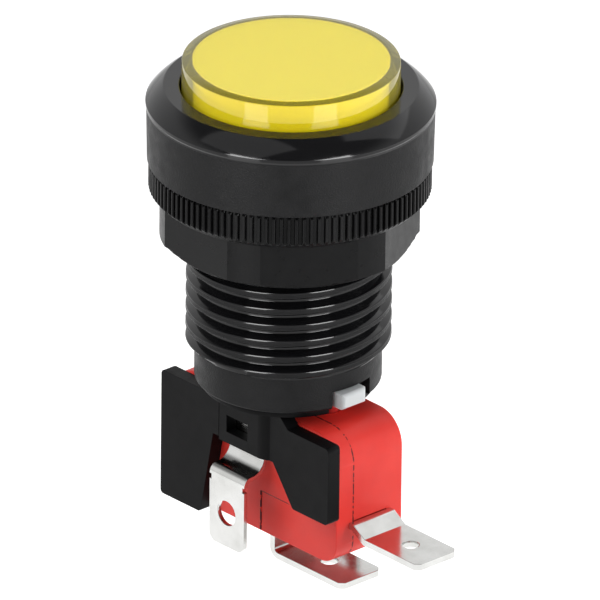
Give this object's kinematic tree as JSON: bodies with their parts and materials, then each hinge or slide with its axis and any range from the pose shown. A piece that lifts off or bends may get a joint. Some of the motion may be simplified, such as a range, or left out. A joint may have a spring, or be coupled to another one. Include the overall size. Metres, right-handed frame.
{
  "type": "arcade push button",
  "caption": "Round illuminated push button for an arcade panel: yellow lens in a black threaded housing with a panel nut, lamp holder and a red microswitch pressed by the plunger.",
  "frame": {"origin": "centre of the bezel's underside, in the plane of the panel's face", "axes": "+Z out of the panel through the lens, +X along the switch towards its end terminal"},
  "size_m": [0.0419, 0.033, 0.0613],
  "materials": {
    "black_moulding": "black ABS moulding, polished on the bevel and fine matt on the side",
    "black_nylon": "black nylon moulding, semi-matt",
    "clear_lens": "clear polished polycarbonate",
    "yellow_insert": "yellow translucent polycarbonate",
    "white_acetal": "milky white moulding",
    "spring_steel": "drawn spring wire",
    "led_epoxy": "clear epoxy dome",
    "tinned_blade": "bright tin plate on stamped brass",
    "red_switch": "red moulded polyester, satin",
    "switch_pin": "red moulded polyester, satin",
    "copper_spring": "rolled copper alloy spring strip",
    "silver_contact": "silver rivet head"
  },
  "bodies": {
    "base": {"housing": "black_moulding", "return_spring": "spring_steel", "lamp_holder": "black_nylon", "lamp_base": "white_acetal", "led_dome": "led_epoxy", "lamp_lead_front": "tinned_blade", "lamp_lead_rear": "tinned_blade", "lamp_terminal_front": "tinned_blade", "lamp_terminal_rear": "tinned_blade", "switch_case": "red_switch", "switch_cover": "red_switch", "com_terminal": "tinned_blade", "no_terminal": "tinned_blade", "fixed_contact": "silver_contact"},
    "plunger": {"lens_cap": "clear_lens", "diffuser": "yellow_insert", "lens_seat": "black_moulding", "plunger_carrier": "white_acetal"},
    "switch_pin": {"switch_plunger": "switch_pin"},
    "snap_arm": {"snap_blade": "copper_spring", "moving_contact": "silver_contact"},
    "nut": {"panel_nut": "black_nylon"}
  },
  "joints": [
    {"name": "press", "type": "slide", "parent": "base", "child": "plunger", "axis": [0, 0, -1], "range_m": [0, 0.0018], "stiffness_N_per_m": 400, "springref_m": -0.003, "deforming": ["return_spring"]},
    {"name": "pin_slide", "type": "slide", "parent": "base", "child": "switch_pin", "axis": [0, 0, -1], "range_m": [0, 0.0018]},
    {"name": "blade_turn", "type": "hinge", "parent": "base", "child": "snap_arm", "pos_m": [-0.0071, 0.0001, -0.03705], "axis": [0, 1, 0], "range_deg": [0, 7.31]},
    {"name": "nut_run", "type": "slide", "parent": "base", "child": "nut", "axis": [0, 0, -1], "range_m": [0, 0.012]}
  ],
  "couplings": [
    {"joint": "pin_slide", "follows": "press", "ratio": 1},
    {"joint": "blade_turn", "follows": "press", "rad_per_m": 70.54}
  ]
}
